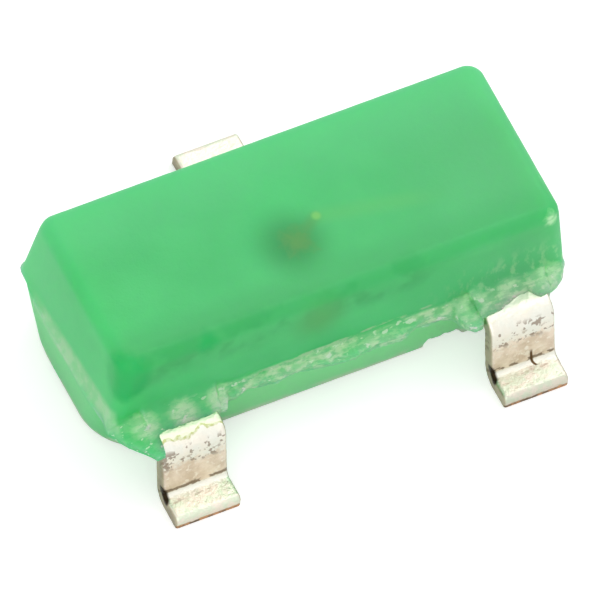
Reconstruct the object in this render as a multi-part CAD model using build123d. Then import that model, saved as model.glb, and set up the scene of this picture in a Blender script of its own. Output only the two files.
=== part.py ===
from build123d import *

import os
from math import atan2, degrees, radians, tan

# A surface-mount light-emitting diode in a small-outline moulding with three gull-wing leads.
# Millimetres. The origin is on the board under the middle of the lead frame, +X runs along the
# moulding, +Y points to the side of the single lead, and +Z points up.

# Moulding: two tapered halves that meet at the parting line, where the lead frame lies.
body_length = 2.815
body_width = 1.20
body_top = 0.96
standoff = 0.04
parting_height = 0.415
upper_draft = 5.0
lower_draft = 3.0
upper_corner_radii = (0.06, 0.10)    # at the parting line, and at the top
lower_corner_radii = (0.27, 0.33)    # at the parting line, and at the underside
top_edge_radius = 0.085
bottom_edge_radius = 0.050
mould_shift = -0.008             # how far the moulding lies off the lead frame's middle, along X
mismatch_x = -0.010              # how far off the upper half the lower half lies
mismatch_y = 0.005

# Lead frame: one strip of plated copper alloy, punched and bent.
lead_thickness = 0.085
lead_width = 0.40
lead_pitch = 2.03                # between the two leads on the -Y side
lead_span = 2.19                 # toe to toe
span_shift = 0.020               # how far the middle of that span lies off the pad's, along Y
carrier_shift = 0.016            # the single lead lies this far off the middle of its pad, along X
foot_length = 0.205              # from the toe to the heel's corner, on the -Y side
carrier_foot_length = 0.260      # the same of the single lead
slope_length = 0.080             # along Y, from the heel's corner to the shoulder's
shoulder_radius = 0.080          # both bend radii are to the middle of the strip
heel_radius = 0.075
punched_edge_radius = 0.022      # the upper edges roll over, where the punch went in
toe_corner_radius = 0.025        # of the toe's corners, in plan
toe_roll_radius = 0.035          # of the toe's upper edge, rolled over where the shear cut it off

# Lead frame inside the moulding.
pad_length = 0.90
pad_width = 0.62
pad_y = 0.0
pad_corner_radius = 0.05
post_length = 0.50               # along X
post_inner_y = 0.18              # where the posts end
post_setback = 0.12              # from the moulding's near wall to where the posts begin
strip_overlap = 0.10             # how far the plain strip of a lead runs into its post
post_shift = 0.065               # the posts stand this far in from their leads
post_corner_radius = 0.05
lock_notch_radius = 0.06         # half-round notches that the resin grips
lock_notch_y = -0.22

# Chip, its adhesive and its top contact.
chip_side = 0.24
chip_height = 0.22
chip_x = -0.03
chip_y = -0.04
adhesive_bond_line = 0.012       # between the pad and the chip
adhesive_margin_width = 0.045    # round the chip, on the pad
adhesive_climb = 0.060           # up the chip's sides
adhesive_lip = 0.006             # what is left of the fillet at its top
contact_diameter = 0.11
contact_thickness = 0.008

# Bond wire, from a ball on the contact to a stitch on the post.
wire_diameter = 0.030
ball_diameter = 0.078
ball_height = 0.034
wire_rise = 0.105                # from the ball's top to the loop's corner
loop_radius = 0.040
stitch_x = 0.93
stitch_y = 0.05
stitch_length = 0.075
stitch_thickness = 0.014
stitch_width = 0.060
landing_radius = 0.10

# Resin round the leads: collars over each lead, and what is left of the web that filled the gaps
# of the frame out to its dam bar, broken off along its edge.
collar_side_thickness = 0.030    # to each side of the lead
collar_reach = 0.15              # of an unbroken collar, beyond the parting line
collar_cover = 0.012             # of resin over the lead at the collar's mouth
collar_rise = 0.065              # above and below that, where the collar meets the wall
web_thickness = 0.070
wall_overlap = 0.070             # how far collars and web run into the moulding
rim_reach = 0.014                # thin flash all round the parting line
rim_thickness = 0.016

# Breaks along the edges of web and collars, as (place along the edge, reach beyond the parting line).
front_web = [
    (-0.83, 0.105), (-0.76, 0.120), (-0.72, 0.055), (-0.58, 0.030), (-0.40, 0.045), (-0.26, 0.030),
    (-0.13, 0.060), (0.05, 0.075), (0.20, 0.055), (0.33, 0.070), (0.46, 0.030), (0.60, 0.038),
    (0.69, 0.070), (0.74, 0.160), (0.83, 0.160),
]
front_left_web = [(-1.43, -0.060), (-1.445, 0.005), (-1.37, 0.110), (-1.25, 0.235), (-1.205, 0.235)]
front_right_web = [(1.19, 0.100), (1.25, 0.095), (1.325, 0.065), (1.385, 0.002), (1.390, -0.030)]
back_web = [
    (-1.25, 0.008), (-1.02, 0.035), (-0.70, 0.025), (-0.44, 0.050), (-0.30, 0.030), (-0.18, 0.100),
    (0.20, 0.125), (0.32, 0.115), (0.38, 0.040), (0.62, 0.030), (0.88, 0.045), (1.22, 0.008),
]
spare_collar_edge = [(-0.26, 0.110), (-0.15, 0.118), (0.02, 0.124), (0.16, 0.122), (0.26, 0.105)]
post_collar_edge = [
    (-0.26, 0.148), (-0.11, 0.138), (-0.01, 0.100), (0.10, 0.083), (0.15, 0.145), (0.26, 0.120),
]
carrier_collar_edge = [(-0.26, 0.100), (-0.09, 0.120), (0.08, 0.112), (0.26, 0.125)]

# Chip broken out of the lower front edge, beside the lead on the +X side.
edge_break_x = 0.675
edge_break_length = 0.25
edge_break_depth = 0.062         # up from the edge and in from it
edge_break_height = 0.100        # up the wall

# Heights and places that follow from the sizes above.
lead_top = parting_height + lead_thickness / 2
wall_y = body_width / 2
pad_top = lead_top
chip_bottom = pad_top + adhesive_bond_line
chip_top = chip_bottom + chip_height
contact_top = chip_top + contact_thickness


def drafted_half(height, draft, corner_radii, edge_radius):
    """One half of the moulding, standing on the parting plane, narrower and rounder away from it."""
    inset = height * tan(radians(draft))
    parting_outline = RectangleRounded(body_length, body_width, corner_radii[0])
    far_outline = RectangleRounded(body_length - 2 * inset, body_width - 2 * inset, corner_radii[1])
    half = loft([Plane.XY * parting_outline, Plane.XY.offset(height) * far_outline])
    far_face = half.faces().sort_by(Axis.Z)[-1]
    return fillet(far_face.edges(), edge_radius)


def moulding_halves():
    """Both halves, joined at the parting line with the mismatch of their moulds."""
    upper = drafted_half(body_top - parting_height, upper_draft, upper_corner_radii, top_edge_radius)
    lower = drafted_half(parting_height - standoff, lower_draft, lower_corner_radii, bottom_edge_radius)
    lower = mirror(lower, about=Plane.XY)
    upper = Pos(mould_shift, 0, parting_height) * upper
    return upper + Pos(mould_shift + mismatch_x, mismatch_y, parting_height) * lower


def flash_rim():
    """The thin rim of flash that creeps between the two mould halves."""
    grown = (body_length + 2 * rim_reach, body_width + 2 * rim_reach)
    outline = RectangleRounded(*grown, upper_corner_radii[0] + rim_reach)
    rim = extrude(outline, amount=rim_thickness / 2, both=True)
    return Pos(mould_shift, 0, parting_height) * rim


def broken_web(breaks, side):
    """Resin web along one long side (side is -1 at the front, 1 at the back), broken along its edge."""
    inside = side * (wall_y - wall_overlap)
    edge = [(x, side * (wall_y + reach)) for x, reach in breaks]
    outline = [(edge[0][0], inside)] + edge + [(edge[-1][0], inside)]
    web = extrude(make_face(Polyline(*outline, close=True)), amount=web_thickness / 2, both=True)
    return Pos(0, 0, parting_height) * web


def collar(x, side, edge):
    """Resin over and under one lead, sloping from the wall down to a broken edge on the strip."""
    mouth = lead_thickness / 2 + collar_cover
    root = mouth + collar_rise
    reach = wall_y + collar_reach
    inside = wall_y - wall_overlap
    profile = Polyline(
        (inside, root), (wall_y, root), (reach, mouth), (reach, -mouth), (wall_y, -root), (inside, -root),
        close=True,
    )
    width = lead_width + 2 * collar_side_thickness
    block = extrude(Plane.YZ * make_face(profile), amount=width / 2, both=True)
    plan = [(edge[0][0], 0)] + [(dx, wall_y + beyond) for dx, beyond in edge] + [(edge[-1][0], 0)]
    block &= extrude(make_face(Polyline(*plan, close=True)), amount=root, both=True)
    if side < 0:
        block = mirror(block, about=Plane.XZ)
    return Pos(x, 0, parting_height) * block


def edge_break():
    """What a knock took out of the lower front edge: a shallow prism with a blunt far end."""
    bottom_y = mismatch_y - wall_y + (parting_height - standoff) * tan(radians(lower_draft))
    half_length = edge_break_length / 2
    corner = Vector(edge_break_x, bottom_y, standoff)
    section = Polyline(
        (-edge_break_depth, -edge_break_depth), (edge_break_depth, -edge_break_depth),
        (edge_break_depth, 0), (0, edge_break_depth), (-edge_break_depth, edge_break_height),
        close=True,
    )
    prism = extrude(Plane.YZ * make_face(section), amount=half_length, both=True)
    return Pos(corner) * prism


def corner_waste(radius):
    """What is cut off a square corner at the origin to round it, where the metal is at -X and -Y."""
    return Rectangle(2 * radius, 2 * radius) - Pos(-radius, -radius) * Circle(radius)


def toe_waste(toe_y):
    """What is cut off a toe: its two corners in plan, and its upper edge."""
    corner = Pos(lead_width / 2, toe_y) * corner_waste(toe_corner_radius)
    corner = extrude(corner, amount=lead_thickness, both=True)
    upper_edge = Plane.YZ * (Pos(toe_y, lead_thickness) * corner_waste(toe_roll_radius))
    return [corner, mirror(corner, about=Plane.YZ), extrude(upper_edge, amount=lead_width, both=True)]


def punched_section():
    """The strip across its length, with the punched edges rolled over on its upper side."""
    section = Rectangle(lead_width, lead_thickness)
    upper_corners = section.vertices().group_by(Axis.Y)[-1]
    return fillet(upper_corners, punched_edge_radius)


def bent_strip(x, side, root_y, toe_y, foot):
    """The part of one lead that is a plain strip: out of the moulding, down to the board and flat on it."""
    foot_height = lead_thickness / 2
    heel_y = toe_y - foot
    corners = [
        (root_y, parting_height), (heel_y - slope_length, parting_height),
        (heel_y, foot_height), (toe_y, foot_height),
    ]
    path = Plane.YZ * FilletPolyline(*corners, radius=[shoulder_radius, heel_radius])
    start = Plane(origin=(0, root_y, parting_height), x_dir=(-1, 0, 0), z_dir=(0, 1, 0))
    strip = sweep(start * punched_section(), path=path)
    for waste in toe_waste(toe_y):
        strip -= waste
    if side < 0:
        strip = mirror(strip, about=Plane.XZ)
    return Pos(x, 0, 0) * strip


def plate(outline):
    """A flat of the lead frame, lying in the parting plane."""
    return Pos(0, 0, parting_height) * extrude(outline, amount=lead_thickness / 2, both=True)


def lead_chip_carrier():
    """The single lead, with the pad that carries the chip."""
    pad = Pos(0, pad_y) * RectangleRounded(pad_length, pad_width, pad_corner_radius)
    for side in (-1, 1):
        pad -= Pos(side * pad_length / 2, pad_y) * Circle(lock_notch_radius)
    toe_y = lead_span / 2 + span_shift
    strip = bent_strip(carrier_shift, 1, pad_y, toe_y, carrier_foot_length)
    return strip + plate(pad)


def post_lead(side):
    """One of the two leads on the -Y side, with its post (side is -1 at -X, 1 at +X)."""
    x = side * lead_pitch / 2
    post_x = x - side * post_shift
    front_y = post_setback - wall_y
    post_width = post_inner_y - front_y
    outline = RectangleRounded(post_length, post_width, post_corner_radius)
    post = Pos(post_x, front_y + post_width / 2) * outline
    post -= Pos(post_x + side * post_length / 2, lock_notch_y) * Circle(lock_notch_radius)
    toe_y = lead_span / 2 - span_shift
    return bent_strip(x, -1, -front_y - strip_overlap, toe_y, foot_length) + plate(post)


def led_chip():
    """The semiconductor chip."""
    chip = Box(chip_side, chip_side, chip_height, align=(Align.CENTER, Align.CENTER, Align.MIN))
    return Pos(chip_x, chip_y, chip_bottom) * chip


def die_attach():
    """The cured adhesive: a bond line under the chip and a fillet up its sides."""
    foot = chip_side + 2 * adhesive_margin_width
    lip = chip_side + 2 * adhesive_lip
    low = Plane.XY * RectangleRounded(foot, foot, adhesive_margin_width)
    high = Plane.XY.offset(adhesive_climb) * RectangleRounded(lip, lip, adhesive_lip)
    mound = loft([low, high])
    return Pos(chip_x, chip_y, pad_top) * mound - led_chip()


def chip_top_contact():
    """The round contact in the middle of the chip's top."""
    disc = Cylinder(contact_diameter / 2, contact_thickness, align=(Align.CENTER, Align.CENTER, Align.MIN))
    return Pos(chip_x, chip_y, chip_top) * disc


def wire_ball():
    """The squashed ball at the wire's first end."""
    ball = Sphere(ball_diameter / 2)
    band = Box(ball_diameter, ball_diameter, ball_height)
    return Pos(chip_x, chip_y, contact_top + ball_height / 2) * (ball & band)


def wire_stitch(heading):
    """The flattened second end, pressed on to the post."""
    foot = Pos(0, 0, stitch_thickness / 2) * extrude(
        SlotOverall(stitch_length + stitch_width, stitch_width), amount=stitch_thickness / 2, both=True
    )
    return Pos(stitch_x, stitch_y, lead_top) * Rot(0, 0, heading) * foot


def bond_wire():
    """The wire: up from the ball, over in one tight bend, and down in a long slope to the stitch."""
    ball_top = contact_top + ball_height
    landing_z = lead_top + wire_diameter / 2
    run = Vector(stitch_x - chip_x, stitch_y - chip_y, 0)
    along = run.normalized()
    start = Vector(chip_x, chip_y, contact_top + ball_height / 2)
    crown = Vector(chip_x, chip_y, ball_top + wire_rise)
    landing = Vector(stitch_x, stitch_y, landing_z) - along * stitch_length
    end = Vector(stitch_x, stitch_y, landing_z)
    path = FilletPolyline(start, crown, landing, end, radius=[loop_radius, landing_radius])
    section = Plane(origin=start, z_dir=(0, 0, 1)) * Circle(wire_diameter / 2)
    wire = sweep(section, path=path, transition=Transition.RIGHT)
    stitch = wire_stitch(degrees(atan2(along.Y, along.X)))
    return wire_ball() + wire + stitch


def moulded_body(inner):
    """The moulding, with its resin web and collars, fitted round everything it encloses."""
    body = moulding_halves() + flash_rim()
    for breaks, side in ((front_web, -1), (front_left_web, -1), (front_right_web, -1), (back_web, 1)):
        body += broken_web(breaks, side)
    body += collar(-lead_pitch / 2, -1, spare_collar_edge)
    body += collar(lead_pitch / 2, -1, post_collar_edge)
    body += collar(carrier_shift, 1, carrier_collar_edge)
    body -= edge_break()
    for piece in inner:
        body -= piece
    return body


def main():
    nodes = {
        "lead_chip_carrier": lead_chip_carrier(),
        "lead_wire_post": post_lead(1),
        "lead_spare": post_lead(-1),
        "led_chip": led_chip(),
        "die_attach": die_attach(),
        "chip_top_contact": chip_top_contact(),
        "bond_wire": bond_wire(),
    }
    nodes["moulded_body"] = moulded_body(list(nodes.values()))
    os.makedirs("parts", exist_ok=True)
    for name, solid in nodes.items():
        export_step(solid, f"parts/{name}.step")


main()
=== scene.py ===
import math

import bpy
import numpy as np
from mathutils import Matrix, Vector


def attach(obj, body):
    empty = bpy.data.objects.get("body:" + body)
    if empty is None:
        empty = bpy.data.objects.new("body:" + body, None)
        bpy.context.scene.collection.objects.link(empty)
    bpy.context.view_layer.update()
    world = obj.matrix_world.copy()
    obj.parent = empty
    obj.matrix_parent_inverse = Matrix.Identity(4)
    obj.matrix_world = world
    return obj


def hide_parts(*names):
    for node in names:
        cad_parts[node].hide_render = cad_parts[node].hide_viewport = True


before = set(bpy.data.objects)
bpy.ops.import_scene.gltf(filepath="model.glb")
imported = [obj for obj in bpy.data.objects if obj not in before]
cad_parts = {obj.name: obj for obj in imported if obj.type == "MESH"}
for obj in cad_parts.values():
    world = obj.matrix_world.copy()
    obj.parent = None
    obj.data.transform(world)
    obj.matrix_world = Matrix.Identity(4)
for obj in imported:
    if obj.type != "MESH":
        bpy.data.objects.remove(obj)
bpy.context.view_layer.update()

MM = 0.001                       # every size below is in millimetres, and meshes are scaled by this

# ---- Sizes from part.py, with finer corners, toes, collars and flash -----------------------------

BODY_LENGTH, BODY_WIDTH, BODY_TOP = 2.815, 1.20, 0.96
STANDOFF, PARTING = 0.04, 0.415
UPPER_DRAFT, LOWER_DRAFT = 5.0, 3.0
UPPER_CORNERS, LOWER_CORNERS = (0.06, 0.10), (0.27, 0.33)
BACK_LEFT_CORNER, FRONT_LEFT_CORNER = (0.19, 0.41), (0.27, 0.36)     # of the lower half
LEFT_FLARE = (0.027, 0.014)      # of the left end towards its flash, above and below the parting plane
TOP_EDGE, BOTTOM_EDGE = 0.085, 0.050
MOULD_SHIFT, MISMATCH = -0.008, (-0.010, 0.005)
WALL_Y = BODY_WIDTH / 2

LEAD_THICKNESS, LEAD_WIDTH, LEAD_PITCH = 0.085, 0.40, 2.03
LEAD_SPAN, SPAN_SHIFT, CARRIER_SHIFT = 2.19, 0.020, 0.016
FOOT, CARRIER_FOOT, SLOPE = 0.205, 0.260, 0.080
SHOULDER_RADIUS, HEEL_RADIUS = 0.080, 0.075
EDGE_RADIUS, TOE_CORNER, TOE_ROLL = 0.022, 0.012, 0.035
PUNCHED_BURR = 0.005             # the radius of the strip's lower edges
PAD = (0.90, 0.62, 0.05)         # length, width, corner radius
POST = (0.50, 0.05)              # length, corner radius
POST_INNER, POST_SETBACK, POST_SHIFT = 0.18, 0.12, 0.065
NOTCH, NOTCH_Y = 0.06, -0.22
FRONT_TOE = LEAD_SPAN / 2 - SPAN_SHIFT
BACK_TOE = LEAD_SPAN / 2 + SPAN_SHIFT

COLLAR_SIDE, COLLAR_COVER, COLLAR_RISE = 0.030, 0.012, 0.120
WEB_HALF, RIM_REACH, RIM_HALF = 0.035, 0.014, 0.008
WEB_SLOPE = 0.105                # above the parting plane, where the web's flaked top meets the wall
BODY_ENDS = (-1.445, 1.4135)     # the moulding's reach along X, flash included
WEBS = [                         # (side, [(x, reach beyond the wall), ...])
    (-1, [(-0.90, 0.020), (-0.83, 0.090), (-0.76, 0.120), (-0.72, 0.055), (-0.58, 0.030), (-0.40, 0.045),
          (-0.26, 0.030), (-0.13, 0.060), (0.05, 0.075), (0.20, 0.055), (0.33, 0.070),
          (0.46, 0.030), (0.60, 0.038), (0.665, 0.060), (0.70, 0.150), (0.74, 0.184), (0.79, 0.180),
          (0.83, 0.080), (0.87, 0.020)]),
    (-1, [(-1.43, -0.060), (-1.445, 0.005), (-1.37, 0.115), (-1.28, 0.222), (-1.255, 0.262), (-1.205, 0.250),
          (-1.180, 0.120), (-1.100, 0.020)]),
    (-1, [(1.06, 0.010), (1.18, 0.085), (1.25, 0.108), (1.29, 0.099), (1.345, 0.050), (1.375, 0.000),
          (1.380, -0.030)]),
    (1, [(-1.25, 0.008), (-1.02, 0.035), (-0.70, 0.025), (-0.44, 0.050), (-0.30, 0.030),
         (-0.18, 0.100), (0.20, 0.125), (0.32, 0.115), (0.38, 0.040), (0.62, 0.030),
         (0.88, 0.045), (1.22, 0.008)]),
]
COLLARS = [                      # (lead's x, side, broken edge as (x from the lead, reach))
    (-LEAD_PITCH / 2, -1, [(-0.26, 0.160), (-0.19, 0.142), (-0.14, 0.119), (0.02, 0.124),
                           (0.16, 0.122), (0.26, 0.105)]),
    (LEAD_PITCH / 2, -1, [(-0.26, 0.148), (-0.11, 0.138), (-0.01, 0.100), (0.10, 0.083),
                          (0.15, 0.145), (0.26, 0.120)]),
    (CARRIER_SHIFT, 1, [(-0.26, 0.100), (-0.09, 0.120), (0.08, 0.112), (0.26, 0.125)]),
]
BREAK_X, BREAK_LENGTH, BREAK_DEPTH, BREAK_HEIGHT = 0.675, 0.25, 0.062, 0.100

# ---- Sizes that only this script has -------------------------------------------------------------

SHARP_ANGLE = 40.0               # degrees between faces that meet in a sharp edge
RING_STEP = 0.0055               # between the moulding's rings near the parting plane
TOP_SINK, BOTTOM_SINK = -0.0016, 0.002           # of the moulding's flat ends, towards the middle
STRIP_STEP, OUTER_STRIP_STEP = 0.009, 0.0055     # between a lead's rings inside the moulding and outside
BEND_STEP = 0.005                # along a lead's bends

# ---- Noise ---------------------------------------------------------------------------------------

_random = np.random.RandomState(20)
_table = _random.permutation(256)
_gradients = _random.normal(size=(256, 3))
_gradients /= np.linalg.norm(_gradients, axis=1)[:, None]


def noise(points, scale, seed=0):
    """Gradient noise from about -0.7 to 0.7 at points (n, 3), with features of about this size."""
    p = np.asarray(points, float) / scale + 17.3 * (seed + 1)
    cell = np.floor(p).astype(int)
    f = p - cell
    fade = f * f * f * (f * (f * 6 - 15) + 10)
    total = np.zeros(len(p))
    for corner in np.ndindex(2, 2, 2):
        c = cell + corner
        h = _table[(_table[(_table[c[:, 0] & 255] + c[:, 1]) & 255] + c[:, 2]) & 255]
        weight = np.prod(np.where(corner, fade, 1 - fade), axis=1)
        total += weight * np.einsum("ij,ij->i", _gradients[h], f - np.array(corner))
    return total


def smoothstep(low, high, value):
    t = np.clip((value - low) / (high - low), 0, 1)
    return t * t * (3 - 2 * t)


# ---- Meshes --------------------------------------------------------------------------------------

def make_piece(name, points, faces, material, node, slot):
    """A mesh piece in the row frame that rides on the root and stands for a CAD node."""
    mesh = bpy.data.meshes.new(name)
    mesh.from_pydata((np.asarray(points) * MM).tolist(), [], faces)
    mesh.validate()
    mesh.polygons.foreach_set("use_smooth", [True] * len(mesh.polygons))
    mesh.set_sharp_from_angle(angle=math.radians(SHARP_ANGLE))
    mesh.materials.append(material)
    piece = bpy.data.objects.new(name, mesh)
    bpy.context.scene.collection.objects.link(piece)
    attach(piece, "root")
    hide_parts(node)
    return piece


def loft_rings(rings):
    """Points and faces of a closed skin over rings of equal length, with an n-gon at each end."""
    count = len(rings[0])
    points = np.vstack(rings)
    faces = []
    step = np.arange(count)
    after = (step + 1) % count
    for k in range(len(rings) - 1):
        a, b = k * count, (k + 1) * count
        faces += np.stack([a + step, a + after, b + after, b + step], axis=1).tolist()
    faces.append(step[::-1].tolist())
    faces.append(((len(rings) - 1) * count + step).tolist())
    return points, faces


# ---- The moulding --------------------------------------------------------------------------------

def body_rays():
    """Where the moulding's outline rays start, on an inner rectangle, and the way they point."""
    a, b = BODY_LENGTH / 2 - 0.15, BODY_WIDTH / 2 - 0.34
    starts, ways = [], []

    def side(p, q, way, count):
        for t in (np.arange(count) + 0.5) / count:
            starts.append((p[0] + (q[0] - p[0]) * t, p[1] + (q[1] - p[1]) * t))
            ways.append(way)

    def fan(centre, first, count):
        for t in np.arange(count + 1) / count:
            angle = math.radians(first + 90 * t)
            starts.append(centre)
            ways.append((math.cos(angle), math.sin(angle)))

    side((-a, -b), (a, -b), (0, -1), 410)
    fan((a, -b), -90, 44)
    side((a, -b), (a, b), (1, 0), 44)
    fan((a, b), 0, 30)
    side((a, b), (-a, b), (0, 1), 170)
    fan((-a, b), 90, 30)
    side((-a, b), (-a, -b), (-1, 0), 52)
    fan((-a, -b), 180, 44)
    return np.array(starts) + (MOULD_SHIFT, 0), np.array(ways)


RAY_START, RAY_WAY = body_rays()


def lower_corners():
    """The lower half's corner radii at the parting plane and at the underside, for each ray."""
    near = RAY_START + RAY_WAY * 0.1
    left, front = near[:, 0] < 0, near[:, 1] < 0
    return [np.where(left, np.where(front, FRONT_LEFT_CORNER[k], BACK_LEFT_CORNER[k]), LOWER_CORNERS[k])
            for k in (0, 1)]


def reach_outline(half_x, half_y, radius, centre):
    """How far each ray runs to a rounded rectangle, whose radius may differ from ray to ray."""
    reach = np.zeros(len(RAY_START))
    straight = np.column_stack([half_x - radius + reach, half_y - radius + reach])
    for _ in range(60):
        p = np.abs(RAY_START + RAY_WAY * reach[:, None] - centre)
        q = p - straight
        outside = np.hypot(*np.maximum(q, 0).T)
        reach -= outside + np.minimum(q.max(axis=1), 0) - radius
    return reach


def reach_polygon(corners):
    """How far each ray runs to the far side of a polygon, or 0 where it misses."""
    reach = np.zeros(len(RAY_START))
    for p, q in zip(corners, corners[1:] + corners[:1]):
        edge = np.subtract(q, p)
        cross = RAY_WAY[:, 0] * edge[1] - RAY_WAY[:, 1] * edge[0]
        cross = np.where(np.abs(cross) < 1e-9, 1e-9, cross)
        away = np.array(p) - RAY_START
        t = (away[:, 0] * edge[1] - away[:, 1] * edge[0]) / cross
        s = (away[:, 0] * RAY_WAY[:, 1] - away[:, 1] * RAY_WAY[:, 0]) / cross
        hit = (s >= 0) & (s <= 1) & (t > 0)
        reach = np.where(hit, np.maximum(reach, t), reach)
    return reach


def half_rings(height, draft, corners, edge, wall_heights):
    """(height above the parting, inset, corner radius) of one half's rings, from the parting out."""
    slope = math.tan(math.radians(draft))
    middle = height - edge
    inset_middle = middle * slope + edge / math.cos(math.radians(draft))
    rings = []
    for h in wall_heights:
        rings.append((h, h * slope, corners[0] + (corners[1] - corners[0]) * h / height))
    for turn in np.radians(np.linspace(draft, 90, 10)):
        h, inset = middle + edge * math.sin(turn), inset_middle - edge * math.cos(turn)
        radius = corners[1] - (inset - h * slope)
        rings.append((h, inset, np.maximum(radius, 0.012)))
    return rings


def web_reach():
    """How far each ray runs to the broken edge of the web, or 0 where there is none."""
    reaches = []
    for side, edge in WEBS:
        inside = side * (WALL_Y - 0.07)
        corners = [(x, side * (WALL_Y + reach)) for x, reach in edge]
        reaches.append(reach_polygon([(edge[0][0], inside)] + corners + [(edge[-1][0], inside)]))
    return np.max(reaches, axis=0)


def collar_reaches():
    """For each collar, how far its rays run to the broken edge, and what is left towards its sides."""
    collars = []
    for x, side, edge in COLLARS:
        across = RAY_START[:, 0] - x
        reach = np.interp(across, *zip(*edge)) + WALL_Y - np.abs(RAY_START[:, 1])
        half = LEAD_WIDTH / 2 + COLLAR_SIDE
        facing = RAY_WAY[:, 1] * side > 0.999
        collars.append((reach, facing * smoothstep(half + 0.015, half - 0.015, np.abs(across))))
    return collars


WEB_REACH, COLLAR_REACHES = web_reach(), collar_reaches()


def flash_rim(along, wall, left, q):
    """The reach of the thin flash all round, torn off here and there, q from the parting plane."""
    rim = RIM_REACH * np.clip(0.7 + 1.1 * noise(along, 0.11, 1), 0, 0.9) * (noise(along, 0.23, 2) > -0.2)
    rim = rim * (1 - 0.9 * left)
    rim_half = RIM_HALF * (1 + 0.8 * noise(along, 0.06, 3))
    return np.where(q < rim_half, wall + rim, wall)


def web_remnants(here, along, wall, h):
    """The reach of what is left of the web: a torn edge, and above it a flaked slope up to the wall."""
    proud = np.maximum(WEB_REACH - wall, 0)
    half = WEB_HALF * (1 + 0.35 * noise(along, 0.12, 4) + 0.2 * noise(along, 0.03, 5))
    slope_top = WEB_SLOPE * (1 + 0.30 * noise(along, 0.15, 17) + 0.12 * noise(along, 0.04, 19))
    share = np.clip((slope_top - h) / (slope_top - half), 0, 1) ** 1.6 * (h > -half)
    flake = 0.014 * noise(here * (0.4, 1, 1), 0.035, 6) + 0.008 * noise(here, 0.016, 7)
    ridge = 0.006 - 0.030 * np.abs(noise(here * (0.5, 1, 1), 0.07, 18))
    tear = (flake + ridge) * smoothstep(0, 0.03, proud) * smoothstep(0, 0.3, share)
    bevel = 0.25 * proud * np.clip(-h / WEB_HALF, 0, 1) ** 2
    return wall + np.where(share > 0, proud * share - bevel + tear, 0)


def lead_collars(here, along, wall, h):
    """The reach of each collar round a lead, falling to the wall above and below its mouth."""
    mouth = LEAD_THICKNESS / 2 + COLLAR_COVER
    root = mouth + COLLAR_RISE * (1 + 0.4 * noise(along, 0.1, 8))
    share = np.clip((root - abs(h)) / (root - mouth), 0, 1) ** (2.2 if h > 0 else 1.2)
    ragged = 0.010 * noise(here, 0.03, 9) + 0.006 * noise(here, 0.012, 10)
    return [wall + np.where(share > 0, (full - wall + ragged) * share * keep, 0)
            for full, keep in COLLAR_REACHES]


def broken_edge(here):
    """How deep the break in the bottom edge cuts in."""
    along_break = 1 - np.clip(np.abs(RAY_START[:, 0] - BREAK_X) / (BREAK_LENGTH / 2), 0, 1) ** 6
    rise = (here[:, 2] - STANDOFF) / BREAK_HEIGHT + 0.5 * noise(here, 0.05, 11)
    return BREAK_DEPTH * np.clip(1 - rise, 0, 1.2) * along_break * (RAY_WAY[:, 1] < -0.999)


def unevenness(here, h):
    """Scuffs of the lower front, and the faint unevenness of the rest."""
    front = RAY_WAY[:, 1] < -0.5
    rough = front * smoothstep(0.12, 0.0, h) * smoothstep(-0.30, -0.10, h)
    scuff = 0.0035 * noise(here, 0.045, 12) + 0.0022 * noise(here, 0.018, 13)
    return rough * scuff + (0.0016 * noise(here, 0.30, 14) + 0.0007 * noise(here, 0.07, 15))


def body_ring(h, inset, radius):
    """One ring of the moulding's skin, h above the parting plane."""
    centre = np.array((MOULD_SHIFT, 0.0)) + (MISMATCH if h < 0 else (0, 0))
    wall = reach_outline(BODY_LENGTH / 2 - inset, BODY_WIDTH / 2 - inset, radius, centre)
    left = smoothstep(0, 0.8, -RAY_WAY[:, 0]) * (1 - 0.5 * smoothstep(0.1, 0.26, RAY_START[:, 1]))
    rise, fall = np.clip(1 - h / 0.11, 0, 1) ** 2, 1 + h / (PARTING - STANDOFF)
    wall = wall + left * (LEFT_FLARE[0] * rise if h > 0 else LEFT_FLARE[1] * fall)
    level = np.full(len(wall), PARTING + h)
    here = np.column_stack([RAY_START + RAY_WAY * wall[:, None], level])
    along = here * (1, 1, 0)
    reach = flash_rim(along, wall, left, abs(h))
    reach = np.maximum(reach, web_remnants(here, along, wall, h))
    for collar in lead_collars(here, along, wall, h):
        reach = np.maximum(reach, collar)
    cut = broken_edge(here)
    reach = np.where(cut > 0.002, np.minimum(reach, wall - cut), reach)
    flat = RAY_START + RAY_WAY * (reach + unevenness(here, h))[:, None]
    flat[:, 0] = np.clip(flat[:, 0], BODY_ENDS[0], BODY_ENDS[1])
    return np.column_stack([flat, level])


def flat_end(ring, level, sink):
    """Rings that close a flat end of the moulding, drawn in to the middle line."""
    spine = (BODY_LENGTH - BODY_WIDTH) / 2
    target = np.column_stack([np.clip(ring[:, 0], -spine, spine), np.zeros(len(ring)), ring[:, 2]])
    made = []
    for share in (0.06, 0.16, 0.32, 0.5, 0.7, 0.88, 0.985):
        flat = ring + (target - ring) * share
        flat[:, 2] = level + sink * smoothstep(0, 0.4, share) + 0.0012 * noise(flat * (1, 1, 0), 0.35, 16)
        flat[:, 2] = np.clip(flat[:, 2], STANDOFF, BODY_TOP)
        made.append(flat)
    return made


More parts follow.
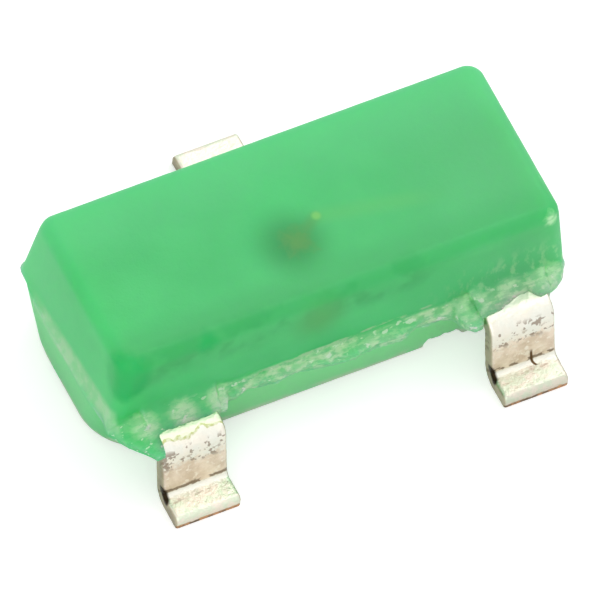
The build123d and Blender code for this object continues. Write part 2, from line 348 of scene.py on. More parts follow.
def body_mesh():
    """The moulding's outer skin, with its flash, web, collars, broken edge and flow marks."""
    fine = np.arange(RING_STEP / 2, 0.135, RING_STEP)
    up = half_rings(BODY_TOP - PARTING, UPPER_DRAFT, UPPER_CORNERS, TOP_EDGE,
                    np.r_[fine, np.linspace(0.15, 0.445, 15)])
    down = half_rings(PARTING - STANDOFF, LOWER_DRAFT, lower_corners(), BOTTOM_EDGE,
                      np.r_[fine, np.linspace(0.148, 0.318, 13)])
    rings = [body_ring(-h, inset, radius) for h, inset, radius in reversed(down)]
    rings += [body_ring(h, inset, radius) for h, inset, radius in up]
    bottom = flat_end(rings[0], STANDOFF, BOTTOM_SINK)[::-1]
    return loft_rings(bottom + rings + flat_end(rings[-1], BODY_TOP, TOP_SINK))


# ---- The leads -----------------------------------------------------------------------------------

def bent_path(corners, radii, spacing):
    """A line through corners with rounded bends, as (y, z, direction y, direction z) rows."""
    corners = [np.array(c, float) for c in corners]
    pieces = []
    start = corners[0]
    for before, corner, after, radius in zip(corners, corners[1:], corners[2:], radii):
        u = (corner - before) / np.linalg.norm(corner - before)
        v = (after - corner) / np.linalg.norm(after - corner)
        turn = math.atan2(u[0] * v[1] - u[1] * v[0], u @ v)
        tangent = radius * math.tan(abs(turn) / 2)
        pieces.append(("line", start, corner - u * tangent))
        pieces.append(("arc", corner - u * tangent, u, turn, radius))
        start = corner + v * tangent
    pieces.append(("line", start, corners[-1]))
    rows = []
    for piece in pieces:
        if piece[0] == "line":
            _, p, q = piece
            length = np.linalg.norm(q - p)
            way = (q - p) / length
            steps = int(length / spacing(p))
            share = np.arange(steps) / steps
            if piece is pieces[-1]:
                share = np.sin(share * math.pi / 2)         # closer together towards the toe
            for t in share * length:
                rows.append((*(p + way * t), *way))
        else:
            _, p, u, turn, radius = piece
            normal = np.array((-u[1], u[0])) * math.copysign(1, turn)
            middle = p + normal * radius
            steps = int(abs(turn) * radius / BEND_STEP)
            for t in np.arange(steps) / steps:
                angle = turn * t
                c, s = math.cos(angle), math.sin(angle)
                turned = np.array((c * (p - middle)[0] - s * (p - middle)[1],
                                   s * (p - middle)[0] + c * (p - middle)[1]))
                rows.append((*(middle + turned), c * u[0] - s * u[1], s * u[0] + c * u[1]))
    rows.append((*corners[-1], *rows[-1][2:]))
    return np.array(rows)


def rounded_half(distance_in, radius):
    """How far a rounded corner of that radius pulls a side in, this far from the end."""
    d = np.clip(distance_in, 0, radius)
    return radius - np.sqrt(radius ** 2 - (radius - d) ** 2)


def section_loop(left, right, roll, top=52, edge=5, wall=8):
    """(x, offset along the strip's normal, outward normal) of one section, its top lowered by roll."""
    half = LEAD_THICKNESS / 2
    high = half - roll
    rows = []

    def arc(cx, cv, r, first):
        for t in np.arange(edge + 1) / edge:
            a = math.radians(first - 90 * t)
            rows.append((cx + r * math.cos(a), cv + r * math.sin(a), math.cos(a), math.sin(a)))

    def line(p, q, normal, count):
        for t in (np.arange(count - 1) + 1) / count:
            rows.append((p[0] + (q[0] - p[0]) * t, p[1] + (q[1] - p[1]) * t, *normal))

    r, s = EDGE_RADIUS, PUNCHED_BURR
    arc(left + r, high - r, r, 180)
    line((left + r, high), (right - r, high), (0, 1), top)
    arc(right - r, high - r, r, 90)
    line((right, high - r), (right, s - half), (1, 0), wall)
    arc(right - s, s - half, s, 0)
    line((right - s, -half), (left + s, -half), (0, -1), top)
    arc(left + s, s - half, s, -90)
    line((left, s - half), (left, high - r), (-1, 0), wall)
    return np.array(rows)


def sheared_toe(flat, toe, seed):
    """Rings that close a toe from its last flat ring: a small roll-over and a slightly uneven face."""
    middle = flat.mean(axis=0)
    half = LEAD_WIDTH * 0.38
    line = np.column_stack([
        np.clip(flat[:, 0], middle[0] - half, middle[0] + half),
        np.full(len(flat), middle[1]), np.full(len(flat), middle[2]),
    ])
    rings = []
    for share, back in ((0.03, 0.0012), (0.10, 0.0002), (0.3, 0), (0.6, 0), (0.9, 0)):
        ring = flat + (line - flat) * share
        ring[:, 1] += 0.0010 * noise(ring, 0.02, 40 + seed) - back
        ring[:, 1] = np.minimum(ring[:, 1], toe)
        rings.append(ring)
    return rings


def lead_rings(x, side, toe, foot, start, edges, seed):
    """Rings of one lead from its inner end to its toe. edges(y) gives the sides inside the moulding."""
    half = LEAD_THICKNESS / 2
    heel = toe - foot
    corners = [(start, PARTING), (heel - SLOPE, PARTING), (heel, half), (toe, half)]
    path = bent_path(corners, (SHOULDER_RADIUS, HEEL_RADIUS),
                     lambda p: STRIP_STEP if p[0] < 0.5 else OUTER_STRIP_STEP)
    rings = []
    for y, z, dy, dz in path:
        left, right = edges(y)
        roll = 0.0
        if z < PARTING - 0.1:
            pull = rounded_half(toe - y, TOE_CORNER)
            left, right = left + pull, right - pull
            roll = rounded_half(toe - y, TOE_ROLL)
        loop = section_loop(left, right, roll)
        normal_y, normal_z = -dz, dy
        ring = np.column_stack([loop[:, 0], y + loop[:, 1] * normal_y, z + loop[:, 1] * normal_z])
        push = np.column_stack([loop[:, 2], loop[:, 3] * normal_y, loop[:, 3] * normal_z])
        outside = smoothstep(0.60, 0.66, y)
        dent = 0.0022 * noise(ring, 0.050, 30 + seed) + 0.0014 * noise(ring, 0.018, 31 + seed)
        broad = 0.0030 * noise(ring, 0.16, 32 + seed)
        under = loop[:, 3] < -0.5
        ring = ring + push * ((dent + broad) * outside * np.where(under & (z < 0.06), 0.15, 1))[:, None]
        ring[:, 2] = np.maximum(ring[:, 2], 0)
        rings.append(ring)
    rings[-1] = rings[-1] * (1, 0, 1) + (0, rings[-1][:, 1].mean(), 0)
    rings += sheared_toe(rings[-1], toe, seed)
    rings = [ring * (1, side, 1) + (x, 0, 0) for ring in rings]
    if side < 0:
        rings = [ring[::-1] for ring in rings]
    return rings


def post_edges(side):
    """The sides of a post lead at |y|, as x from the lead's middle."""
    front = WALL_Y - POST_SETBACK
    shift = -side * POST_SHIFT

    def edges(y):
        left, right = -LEAD_WIDTH / 2, LEAD_WIDTH / 2
        if y <= front:
            pull = max(rounded_half(y + POST_INNER, POST[1]), rounded_half(front - y, POST[1]))
            left, right = shift - POST[0] / 2 + pull, shift + POST[0] / 2 - pull
            bite = math.sqrt(max(NOTCH ** 2 - (y + NOTCH_Y) ** 2, 0))
            if side > 0:
                right = min(right, shift + POST[0] / 2 - bite)
            else:
                left = max(left, shift - POST[0] / 2 + bite)
            if y > front - POST[1]:
                left, right = min(left, -LEAD_WIDTH / 2), max(right, LEAD_WIDTH / 2)
        return left, right

    return edges


def carrier_edges(y):
    """The sides of the chip's pad and its lead at y, as x from the lead's middle."""
    left, right = -LEAD_WIDTH / 2, LEAD_WIDTH / 2
    if y <= PAD[1] / 2:
        pull = rounded_half(PAD[1] / 2 - abs(y), PAD[2])
        bite = math.sqrt(max(NOTCH ** 2 - y ** 2, 0))
        reach = PAD[0] / 2 - max(pull, bite)
        left, right = -reach - CARRIER_SHIFT, reach - CARRIER_SHIFT
    return left, right


# ---- Materials -----------------------------------------------------------------------------------

class Nodes:
    """A short way to write a node tree."""

    def __init__(self, tree):
        self.tree = tree

    def add(self, kind, inputs=(), **settings):
        made = self.tree.nodes.new("ShaderNode" + kind)
        for key, value in settings.items():
            setattr(made, key, value)
        for key, value in dict(inputs).items():
            self.put(made.inputs[key], value)
        return made

    def put(self, socket, value):
        if isinstance(value, bpy.types.NodeSocket):
            self.tree.links.new(value, socket)
        else:
            socket.default_value = value

    def math(self, kind, a, b=0.0, clamp=False):
        return self.add("Math", {0: a, 1: b}, operation=kind, use_clamp=clamp).outputs[0]

    def vector(self, kind, inputs):
        return self.add("VectorMath", inputs, operation=kind).outputs

    def times(self, product, *others):
        """The product of some values."""
        for other in others:
            product = self.math("MULTIPLY", product, other)
        return product

    def minus(self, a, b):
        return self.math("SUBTRACT", a, b)

    def absolute(self, value):
        """The value without its sign."""
        return self.math("ABSOLUTE", value)

    def plus(self, start, share, gain):
        """The start, and gain times the share on top of it."""
        return self.math("ADD", start, self.times(share, gain))

    def most(self, shares):
        """The highest of some shares."""
        total = 0.0
        for share in shares:
            total = self.math("MAXIMUM", total, share)
        return total

    def ramp(self, value, low, high):
        """0 below low and 1 above high, smoothly. With low above high it falls instead."""
        made = self.add("MapRange", {"Value": value, "From Min": low, "From Max": high},
                        interpolation_type="SMOOTHSTEP")
        return made.outputs["Result"]

    def mix(self, share, a, b):
        """Colour a, or b where the share is 1. Each is a socket or (red, green, blue)."""
        made = self.add("Mix", {}, data_type="RGBA")
        self.put(made.inputs[0], share)
        for index, value in ((6, a), (7, b)):
            self.put(made.inputs[index], (*value, 1) if isinstance(value, tuple) else value)
        return made.outputs[2]

    def warped(self, where, size, amount):
        """The place moved about by noise, for ragged edges."""
        cloud = self.add("TexNoise", {"Vector": where, "Scale": 1 / size, "Detail": 2.0}).outputs["Color"]
        moved = self.vector("SUBTRACT", {0: cloud, 1: (0.5, 0.5, 0.5)})[0]
        moved = self.vector("SCALE", {0: moved, 3: amount})[0]
        return self.vector("ADD", {0: where, 1: moved})[0]

    def stretched(self, where, scale):
        return self.add("Mapping", {"Vector": where, "Scale": scale}).outputs[0]

    def noise(self, where, size, detail=3.0, rough=0.55):
        """Noise from 0 to 1 with features of about this size in millimetres."""
        made = self.add("TexNoise", {"Vector": where, "Scale": 1 / size, "Detail": detail,
                                     "Roughness": rough})
        return made.outputs["Fac"]

    def shaken(self, value, noise, amount):
        """A value moved up and down by noise."""
        return self.plus(value, self.minus(noise, 0.5), amount)

    def near(self, where, centre, reach, core=0.0):
        """1 up to core from this place, falling smoothly to 0 at this distance from it."""
        return self.ramp(self.vector("DISTANCE", {0: where, 1: centre})["Value"], reach, core)

    def streak(self, where, start, end, reach, core=0.0):
        """The same round the straight line from start to end."""
        line = np.subtract(end, start)
        offset = self.vector("SUBTRACT", {0: where, 1: start})[0]
        run = self.vector("DOT_PRODUCT", {0: offset, 1: line / (line @ line)})["Value"]
        run = self.math("MULTIPLY", run, 1.0, clamp=True)
        foot = self.vector("SCALE", {0: tuple(line), 3: run})[0]
        return self.ramp(self.vector("DISTANCE", {0: offset, 1: foot})["Value"], reach, core)

    def bump(self, height, distance, normal=None):
        made = self.add("Bump", {"Height": height, "Distance": distance * MM, "Strength": 1.0})
        if normal is not None:
            self.put(made.inputs["Normal"], normal)
        return made.outputs["Normal"]


class Material(Nodes):
    """A new material with its node tree."""

    def __init__(self, name):
        self.material = bpy.data.materials.new(name)
        self.material.use_nodes = True
        super().__init__(self.material.node_tree)
        self.shader = self.tree.nodes["Principled BSDF"]

    def place(self):
        """Object coordinates in millimetres, and their three parts."""
        coordinates = self.add("TexCoord").outputs["Object"]
        scaled = self.vector("SCALE", {0: coordinates, 3: 1 / MM})[0]
        parts = self.add("SeparateXYZ", {0: scaled})
        return scaled, *[parts.outputs[k] for k in range(3)]

    def set(self, **values):
        for key, value in values.items():
            self.put(self.shader.inputs[key.replace("_", " ")], value)


# Where painted shade and a painted highlight stand for the pieces inside the moulding, seen through its
# surface.
CHIP_OUTLINE_SHADE = (-0.105, -0.155, BODY_TOP)
CHIP_SHADE = (-0.135, -0.160, BODY_TOP)
CHIP_FRONT_SHADE = (-0.148, -0.568, 0.785)
WIRE_HIGHLIGHT = (0.065, -0.047, BODY_TOP)
WIRE_SLOPE, WIRE_OFFSET = 0.191, 0.040           # its streak runs along y = -WIRE_SLOPE x - WIRE_OFFSET
# Painted shade: the blotches along the front's upper edge, as (place, reach, core).
PAINTED_BLOTCH_SHADES = [((-1.36, -0.57, 0.84), 0.22, 0.13), ((-0.84, -0.535, 0.90), 0.10, 0.03)]

BESIDE_LEAD = LEAD_WIDTH / 2 + COLLAR_SIDE       # from a lead's middle to the side of its collar
ALONG = (0.4, 1.0, 1.0)                          # stretches noise along X


def upper_colour_and_shade(m, base, where, x, y, z):
    """The resin's upper half: its far end, its far side, and painted shade along the edge between top and
    front.
    """
    base = m.mix(m.times(m.ramp(x, 0.2, 1.2), 0.8), base, (0.096, 0.600, 0.215))
    base = m.mix(m.times(m.ramp(y, 0.0, 0.45), 0.65), base, (0.113, 0.705, 0.275))
    # Painted shade along the rounded edge between top and front.
    base = m.mix(m.times(m.ramp(y, -0.26, -0.48), m.ramp(z, 0.86, 0.94)), base, (0.056, 0.555, 0.172))
    # Painted shade in spots down the front's upper part, and in blotches.
    edge = m.times(m.ramp(z, 0.68, 0.84), m.ramp(y, -0.42, -0.52))
    spots = m.plus(0.36, m.ramp(m.noise(where, 0.20, 2.0), 0.42, 0.62), 0.65)
    spots = m.times(spots, m.plus(1.0, m.ramp(x, 0.38, 0.62), -0.7))
    base = m.mix(m.times(edge, spots), base, (0.030, 0.490, 0.135))
    ragged = m.warped(where, 0.06, 0.05)
    blotch_shade = m.most([m.near(ragged, place, reach, core) for place, reach, core in PAINTED_BLOTCH_SHADES])
    return m.mix(blotch_shade, base, (0.0, 0.500, 0.120))


def inner_parts_light_and_shade(m, base, where, x, y, z):
    """Painted shade of the chip seen through the top and the front, and painted light along the wire's
    streak with a painted highlight at its near end.
    """
    base = m.mix(m.times(m.near(where, (-0.05, 0.15, BODY_TOP), 0.35), 0.5), base, (0.066, 0.740, 0.215))
    base = m.mix(m.times(m.near(where, (-0.26, -0.09, BODY_TOP), 0.32), 0.6), base, (0.040, 0.640, 0.185))
    # Painted shade of the chip seen through the top: a broad spot, then its outline and its link towards the
    # wire.
    base = m.mix(m.near(where, CHIP_SHADE, 0.30), base, (0.012, 0.395, 0.088))
    offset = m.vector("SUBTRACT", {0: m.warped(where, 0.045, 0.09), 1: CHIP_OUTLINE_SHADE})[0]
    offset = m.add("SeparateXYZ", {0: m.vector("ABSOLUTE", {0: offset})[0]}).outputs
    chip = m.ramp(m.math("MAXIMUM", offset[0], offset[1]), 0.125, 0.0)
    chip = m.times(chip, m.ramp(z, 0.90, 0.94))
    link = m.times(m.streak(where, (-0.05, -0.12, BODY_TOP), (0.05, -0.055, BODY_TOP), 0.06), 0.5)
    base = m.mix(m.math("MAXIMUM", chip, link), base, (0.098, 0.425, 0.088))
    # Painted shade of the chip seen through the front.
    base = m.mix(m.near(where, CHIP_FRONT_SHADE, 0.24), base, (0.076, 0.510, 0.130))
    # Painted light along the wire seen through the top.
    off_wire = m.absolute(m.plus(m.math("ADD", y, WIRE_OFFSET), x, WIRE_SLOPE))
    wire = m.times(m.ramp(off_wire, 0.09, 0.0), m.ramp(x, 0.0, 0.1), m.ramp(x, 0.9, 0.5), 0.5)
    base = m.mix(m.times(wire, m.ramp(z, 0.9, 0.95)), base, (0.12, 0.67, 0.18))
    # Painted highlight at the wire's near end.
    return m.mix(m.near(where, WIRE_HIGHLIGHT, 0.038, 0.012), base, (0.22, 0.70, 0.17))


def left_end_light_and_flash(m, base, x, y, z, flake):
    """Painted light on the left end, with its flash as a pale streak."""
    # Painted light: the left end made lighter.
    end = m.times(m.ramp(x, -1.36, -1.41), m.ramp(y, -0.58, -0.40))
    base = m.mix(m.times(end, 0.8), base, (0.122, 0.800, 0.280))
    from_flash = m.absolute(m.minus(m.plus(z, y, 0.117), 0.440))
    line = m.times(m.ramp(from_flash, 0.090, 0.02), m.ramp(x, -1.37, -1.40), m.ramp(y, 0.45, 0.20))
    line = m.times(line, m.plus(0.60, m.ramp(flake, 0.40, 0.60), 0.4))
    return m.mix(line, base, (0.48, 0.86, 0.50))


def lower_painted_light(m, base, where, x, z, flake):
    """Painted light on the lower half from the floor below, strongest along the bottom edge."""
    # Painted light from the floor on the lower half, less towards the left end and its front corner.
    below = m.times(m.ramp(z, 0.42, 0.36), m.plus(0.85, m.ramp(x, -1.30, -1.40), -0.30))
    corner = m.plus(1.0, m.near(where, (-1.33, -0.45, 0.22), 0.28), -0.5)
    base = m.mix(m.times(below, corner), base, (0.27, 0.92, 0.35))
    # Painted light along the bottom edge.
    bottom_edge_light = m.times(m.ramp(z, 0.135, 0.085), m.ramp(flake, 0.40, 0.52))
    return m.mix(bottom_edge_light, base, (0.48, 0.86, 0.45))


def flash_colour_light_and_shade(m, base, where, x, y, z, torn, flake, streak):
    """The torn flash with its streaks, the pale line along its top, pale spots that are partly painted
    highlight, scuffs, a painted shade and painted glints.
    """
    pale = m.mix(m.ramp(streak, 0.42, 0.60), (0.25, 0.70, 0.31), (0.60, 0.90, 0.53))
    amount = m.plus(0.45, m.ramp(flake, 0.42, 0.56), 0.50)
    amount = m.times(amount, m.plus(0.20, m.ramp(x, -0.86, -0.74), 0.80))
    base = m.mix(m.times(torn, amount), base, pale)
    # The line along the top, which climbs a little along X.
    top = m.shaken(m.minus(m.minus(z, 0.514), m.times(x, 0.022)), flake, 0.05)
    top = m.times(m.ramp(m.absolute(top), 0.013, 0.004), m.ramp(y, -0.52, -0.56))
    top = m.times(top, m.times(m.ramp(x, -0.60, -0.40), m.ramp(x, 0.62, 0.48)))
    base = m.mix(m.times(top, m.ramp(streak, 0.38, 0.56)), base, (0.42, 0.74, 0.42))
    # The flash is palest round each near lead, and at the worn corner of the top beyond the right one:
    # whitened fracture with painted highlight on it.
    ragged = m.warped(where, 0.035, 0.045)
    pale_patches_and_highlights = [m.near(ragged, (lead + step, -WALL_Y - 0.06, PARTING + 0.06), 0.11, 0.04)
               for lead in (-LEAD_PITCH / 2, LEAD_PITCH / 2) for step in (-BESIDE_LEAD, 0.0, BESIDE_LEAD)]
    worn_corner = (BODY_LENGTH / 2 - 0.13, 0.06 - WALL_Y, BODY_TOP - 0.06)
    pale_patches_and_highlights = m.most(pale_patches_and_highlights + [m.near(ragged, worn_corner, 0.06, 0.02)])
    crisp = m.plus(0.55, m.ramp(streak, 0.43, 0.53), 0.45)
    base = m.mix(m.times(pale_patches_and_highlights, crisp), base, (0.56, 0.93, 0.53))
    upright = m.noise(m.stretched(where, (1.0, 1.0, 0.45)), 0.045, 3.0, 0.6)
    scuff = m.times(m.ramp(y, -0.50, -0.56), m.ramp(z, 0.80, 0.58), m.ramp(x, 0.45, 0.95))
    base = m.mix(m.times(scuff, m.ramp(upright, 0.48, 0.66)), base, (0.26, 0.70, 0.32))
    # Painted shade where the web ends at the right lead's collar, and painted glints scattered over the
    # tear.
    gap_shade = m.near(ragged, (LEAD_PITCH / 2 - BESIDE_LEAD, -WALL_Y - 0.08, PARTING + 0.07), 0.06, 0.02)
    base = m.mix(m.times(gap_shade, 0.65), base, (0.035, 0.520, 0.150))
    # Painted glints: small painted highlights scattered over the tear.
    chip_glints = m.ramp(m.noise(m.stretched(where, (0.6, 1.0, 1.0)), 0.035, 2.0), 0.62, 0.68)
    return m.mix(m.times(chip_glints, torn, 0.8), base, (0.78, 1.0, 0.74))


def resin_material():
    """Milky green epoxy, paler where it is torn, with painted shade at its upper edges and over the chip,
    and painted light on its lower half and left end.
    """
    m = Material("green_resin_satin")
    where, x, y, z = m.place()
    flake = m.noise(m.stretched(where, ALONG), 0.09, 3.0, 0.6)
    streak = m.noise(m.stretched(where, ALONG), 0.032, 4.0, 0.6)
    band = m.times(m.ramp(z, 0.545, 0.50), m.ramp(z, 0.385, 0.425))
    torn = m.times(m.ramp(m.minus(m.absolute(y), WALL_Y), -0.008, 0.006), band)
    base = m.mix(m.ramp(m.noise(where, 0.5, 2.0), 0.35, 0.65), (0.060, 0.645, 0.192), (0.076, 0.690, 0.215))
    base = upper_colour_and_shade(m, base, where, x, y, z)
    base = inner_parts_light_and_shade(m, base, where, x, y, z)
    base = left_end_light_and_flash(m, base, x, y, z, flake)
    base = lower_painted_light(m, base, where, x, z, flake)
    base = flash_colour_light_and_shade(m, base, where, x, y, z, torn, flake, streak)
    normal = m.bump(m.noise(where, 0.012, 3.0, 0.6), 0.0010)
    normal = m.bump(m.noise(where, 0.06, 3.0), 0.0020, normal)
    normal = m.bump(m.times(streak, torn), 0.010, normal)
    grain = m.noise(where, 0.035, 4.0, 0.6)
    rough = m.add("MapRange", {"Value": grain, "To Min": 0.42, "To Max": 0.54}).outputs["Result"]
    m.set(Base_Color=base, Roughness=m.minus(rough, m.times(torn, 0.15)), IOR=1.50, Normal=normal,
          Transmission_Weight=0.22, Subsurface_Weight=1.0, Subsurface_Scale=0.0004,
          Subsurface_Radius=(0.35, 1.0, 0.45))
    return m.material


def dark_marks_and_heel_shade(m, where, down, coarse):
    """Spots over the shoulder, a broken row of painted shade above the heel along the steep stretch's lower
    edge, and a faint line where the foot begins.
    """
    wander = m.shaken(down, coarse, 0.04)
    dashes = m.noise(m.stretched(where, (0.6, 1.0, 1.0)), 0.040, 2.0)
    spots = m.times(m.ramp(wander, -0.48, -0.42), m.ramp(wander, -0.26, -0.31))
    spots = m.times(spots, m.ramp(m.noise(where, 0.045, 2.0), 0.57, 0.62))
    # Painted shade: the broken row along the steep stretch's lower edge.
    row = m.times(m.ramp(wander, -0.112, -0.098), m.ramp(wander, -0.072, -0.084), m.ramp(dashes, 0.44, 0.52))
    line = m.times(m.ramp(m.absolute(wander), 0.011, 0.004), m.times(m.ramp(dashes, 0.50, 0.56), 0.7))
    return m.most([spots, row, line])


def arc_scratch(m, across, out, start, end):
    """1 along a bowed scratch from start to end, both as (across the lead, out from the heel's corner)."""
    run = m.math("DIVIDE", m.minus(out, start[1]), end[1] - start[1])
    bow = m.times(run, run, end[0] - start[0])
    aside = m.absolute(m.minus(m.minus(across, start[0]), bow))
    return m.times(m.ramp(aside, 0.011, 0.005), m.times(m.ramp(run, -0.08, 0.08), m.ramp(run, 1.08, 0.92)))


def lead_material(name, x0, side, heel, toe, film=0.0, foot=1.0, heel_shadow=False, scratch=None):
    """Tin plate over copper alloy: bright bends, a tan steep stretch that is a painted reflection of darker
    surroundings, dark marks with painted shade at the heel, a bare sheared toe.

    film is how much resin covers the shoulder, foot how bright the foot is, where below 1 as painted shade.
    A heel shadow is painted black in the heel's corner, and a scratch is the arc's start and end.
    """
    m = Material(name)
    where, x, y, z = m.place()
    out = m.times(y, float(side))
    across = m.minus(x, x0)
    speck = m.noise(where, 0.020, 3.0, 0.7)
    patch = m.noise(where, 0.11, 3.0)
    coarse = m.noise(where, 0.05, 2.0)
    mottle = m.noise(where, 0.030, 2.0)
    # The way down the strip: about -0.54 where it comes out, 0 past the heel, and 0.12 at the toe.
    down = m.minus(m.minus(out, z), heel)
    ragged = m.shaken(m.shaken(down, coarse, 0.14), speck, 0.06)
    tin = m.mix(m.ramp(patch, 0.35, 0.65), (0.90, 0.86, 0.75), (0.86, 0.86, 0.77))
    # The foot is faintly green and pink, dimmed by foot as painted shade.
    green, pink = [tuple(foot * part for part in tint) for tint in ((0.74, 0.80, 0.63), (0.86, 0.79, 0.67))]
    color = m.mix(m.ramp(down, -0.06, 0.02), tin, m.mix(m.ramp(coarse, 0.38, 0.62), green, pink))
    # Painted reflection of darker surroundings on the steep stretch: tan and mottled, with ragged ends.
    band = m.times(m.ramp(ragged, -0.335, -0.275), m.ramp(down, -0.070, -0.090))
    tan = m.mix(m.ramp(patch, 0.35, 0.65), (0.88, 0.76, 0.62), (0.70, 0.57, 0.43))
    tan = m.mix(m.ramp(mottle, 0.52, 0.72), tan, (0.92, 0.84, 0.72))
    color = m.mix(m.times(band, 0.95), color, tan)
    above = m.times(m.ramp(down, -0.40, -0.34), m.ramp(down, -0.25, -0.30))
    shade = m.times(m.ramp(mottle, 0.56, 0.66), above)
    color = m.mix(m.times(shade, 0.7), color, (0.38, 0.30, 0.22))
    # A film of resin where the lead leaves the moulding, with a yellow-green rim.
    rim = m.minus(m.shaken(out, patch, 0.10), heel)
    color = m.mix(m.times(m.ramp(rim, -0.085, -0.095), 0.75 * film), color, (0.84, 0.90, 0.66))
    edge = m.times(m.ramp(rim, -0.101, -0.095), m.ramp(rim, -0.083, -0.089))
    edge = m.times(edge, m.plus(0.35, m.ramp(mottle, 0.40, 0.56), 0.5))
    color = m.mix(m.times(edge, film), color, (0.50, 0.54, 0.20))
    # The punched sides are duller.
    flank = m.ramp(m.absolute(across), LEAD_WIDTH / 2 - 0.012, LEAD_WIDTH / 2 - 0.003)
    dull = m.mix(m.ramp(patch, 0.4, 0.6), (0.47, 0.42, 0.29), (0.36, 0.31, 0.21))
    color = m.mix(m.times(flank, 0.9), color, dull)
    # The marks and the painted shade at the heel are grey-brown above, darker towards the heel, and faint on
    # the foot.
    depth = m.mix(m.ramp(down, -0.18, -0.12), (0.30, 0.23, 0.17), (0.17, 0.12, 0.07))
    depth = m.mix(m.ramp(down, -0.025, -0.010), depth, (0.48, 0.38, 0.30))
    color = m.mix(m.times(dark_marks_and_heel_shade(m, where, down, coarse), 0.8), color, depth)
    # Painted shadow: black in the heel's corner.
    if heel_shadow:
        left = x0 - LEAD_WIDTH / 2 + 0.002
        top, bottom = (left, side * (heel + 0.004), 0.122), (left, side * (heel + 0.062), 0.072)
        color = m.mix(m.streak(where, top, bottom, 0.032, 0.014), color, (0.03, 0.02, 0.01))
    if scratch:
        color = m.mix(arc_scratch(m, across, m.minus(out, heel), *scratch), color, (0.14, 0.08, 0.035))
    # Bare copper at the sheared toe, below what the shear smeared over it.
    sheared = m.times(m.ramp(out, toe - 0.008, toe - 0.004), m.ramp(m.shaken(z, coarse, 0.04), 0.030, 0.020))
    copper = m.mix(m.ramp(coarse, 0.42, 0.58), (0.60, 0.34, 0.17), (0.20, 0.14, 0.075))
    color = m.mix(sheared, color, copper)
    height = m.plus(m.times(speck, 0.7), m.noise(where, 0.008, 2.0), 0.3)
    m.set(Base_Color=color, Metallic=1.0, Roughness=0.40, Normal=m.bump(height, 0.006))
    return m.material


def simple_material(name, light, dark, size, metallic, roughness):
    """A material with two close shades and a fine grain."""
    m = Material(name)
    where = m.place()[0]
    share = m.ramp(m.noise(where, size), 0.3, 0.7)
    m.set(Base_Color=m.mix(share, light, dark), Metallic=metallic, Roughness=roughness,
          Normal=m.bump(m.noise(where, size / 2), 0.001))
    return m.material


# ---- The object ----------------------------------------------------------------------------------

make_piece("moulded_body_skin", *body_mesh(), resin_material(), "moulded_body", "green_resin")

POST_LEADS = [                   # (node, side along X, noise seed, film, foot's brightness as painted shade, scratch)
    ("lead_spare", -1, 0, 1.0, 1.0, None),
    ("lead_wire_post", 1, 5, 0.1, 0.86, ((0.045, 0.015), (0.065, 0.065))),
]
for node, side_x, seed, film, foot, scratch in POST_LEADS:
    x0 = side_x * LEAD_PITCH / 2
    rings = lead_rings(x0, -1, FRONT_TOE, FOOT, -POST_INNER, post_edges(side_x), seed)
    tin = lead_material(node + "_tin", x0, -1, FRONT_TOE - FOOT, FRONT_TOE, film, foot, True, scratch)
    make_piece(node + "_formed", *loft_rings(rings), tin, node, "plated_lead")
rings = lead_rings(CARRIER_SHIFT, 1, BACK_TOE, CARRIER_FOOT, -PAD[1] / 2, carrier_edges, 9)
tin = lead_material("lead_chip_carrier_tin", CARRIER_SHIFT, 1, BACK_TOE - CARRIER_FOOT, BACK_TOE)
make_piece("lead_chip_carrier_formed", *loft_rings(rings), tin, "lead_chip_carrier", "plated_lead")

INNER_MATERIALS = {              # node: (name, light shade, dark shade, grain, metallic, roughness)
    "led_chip": ("chip_amber", (0.80, 0.26, 0.07), (0.55, 0.16, 0.04), 0.05, 0.0, 0.35),
    "die_attach": ("adhesive_silver", (0.55, 0.52, 0.46), (0.40, 0.38, 0.34), 0.03, 0.3, 0.5),
    "chip_top_contact": ("contact_gold", (0.95, 0.68, 0.22), (0.80, 0.52, 0.15), 0.03, 1.0, 0.3),
    "bond_wire": ("wire_gold", (0.98, 0.74, 0.26), (0.85, 0.60, 0.18), 0.03, 1.0, 0.25),
}
for node, look in INNER_MATERIALS.items():
    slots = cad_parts[node].data.materials
    slots.clear()
    slots.append(simple_material(*look))

# ---- Floor, light and camera ---------------------------------------------------------------------

def seen_directly(m, camera, others):
    """One strength for camera rays, and another for glossy and transmission rays."""
    path = m.add("LightPath").outputs
    mirrored = m.math("ADD", path["Is Glossy Ray"], path["Is Transmission Ray"], clamp=True)
    return m.math("MAXIMUM", m.times(path["Is Camera Ray"], camera), m.times(mirrored, others))


FLOOR_HALF, FLOOR_DROP = 40.0, 0.002             # half its side, and how far it lies under the feet
AMBIENT = 0.78                                   # the world's level
half = FLOOR_HALF * MM
floor_mesh = bpy.data.meshes.new("floor")
floor_corners = [(-half, -half, 0), (half, -half, 0), (half, half, 0), (-half, half, 0)]
floor_mesh.from_pydata(floor_corners, [], [(0, 1, 2, 3)])
floor = bpy.data.objects.new("floor", floor_mesh)
floor.location.z = -FLOOR_DROP * MM
bpy.context.scene.collection.objects.link(floor)
m = Material("floor_white")
m.set(Base_Color=(0.80, 0.80, 0.80, 1), Roughness=0.9, Specular_IOR_Level=0.0,
      Emission_Color=(1, 1, 1, 1), Emission_Strength=seen_directly(m, 0.46, 0.20))
floor_mesh.materials.append(m.material)

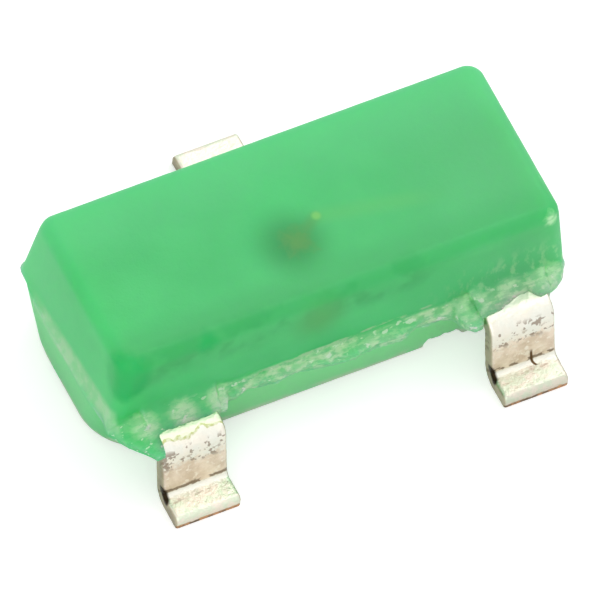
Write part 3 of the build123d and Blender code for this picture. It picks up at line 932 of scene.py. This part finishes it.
world = bpy.data.worlds.new("studio")
world.use_nodes = True
bpy.context.scene.world = world
w = Nodes(world.node_tree)
background = w.tree.nodes["Background"]
background.inputs["Color"].default_value = (1, 1, 1, 1)
w.put(background.inputs["Strength"], w.math("ADD", seen_directly(w, 1 - AMBIENT, 1 - AMBIENT), AMBIENT))


def lamp(name, way, distance, size, level):
    """A soft square lamp that gives this level on a surface that faces it."""
    data = bpy.data.lights.new(name, "AREA")
    data.size = size * MM
    data.energy = level * (math.pi * distance * MM) ** 2
    made = bpy.data.objects.new(name, data)
    back = Vector(way).normalized()
    made.location = back * distance * MM + Vector((0, 0, 0.4 * MM))
    made.rotation_mode = "QUATERNION"
    made.rotation_quaternion = back.to_track_quat("Z", "Y")
    bpy.context.scene.collection.objects.link(made)


lamp("key", (0.50, 0.25, 0.85), 30, 22, 0.26)
lamp("fill", (-0.45, -0.75, 0.55), 34, 26, 0.18)

AZIMUTH, ELEVATION, ROLL = (math.radians(angle) for angle in (-123.10, 56.87, 8.52))
PICTURE_WIDTH = 3.328                        # what the picture spans at the object
AIM = (0.067, 0.036, 0.4)                    # the picture's middle: right of, above and before the origin
back = Vector((math.cos(ELEVATION) * math.cos(AZIMUTH), math.cos(ELEVATION) * math.sin(AZIMUTH),
               math.sin(ELEVATION)))
level = Vector((-math.sin(AZIMUTH), math.cos(AZIMUTH), 0))
right = level * math.cos(ROLL) + back.cross(level) * math.sin(ROLL)
up = back.cross(right)
camera = bpy.data.objects.new("camera", bpy.data.cameras.new("camera"))
bpy.context.scene.collection.objects.link(camera)
bpy.context.scene.camera = camera
camera.data.sensor_width = 36.0
camera.data.lens = 1500.0
distance = PICTURE_WIDTH * camera.data.lens / camera.data.sensor_width
aim = right * AIM[0] + up * AIM[1] + back * AIM[2]
turn = Matrix((right, up, back)).transposed()
camera.matrix_world = Matrix.Translation((aim + back * distance) * MM) @ turn.to_4x4()
camera.data.clip_start = 0.01
camera.data.clip_end = 0.4

bpy.context.scene.view_settings.view_transform = "Standard"
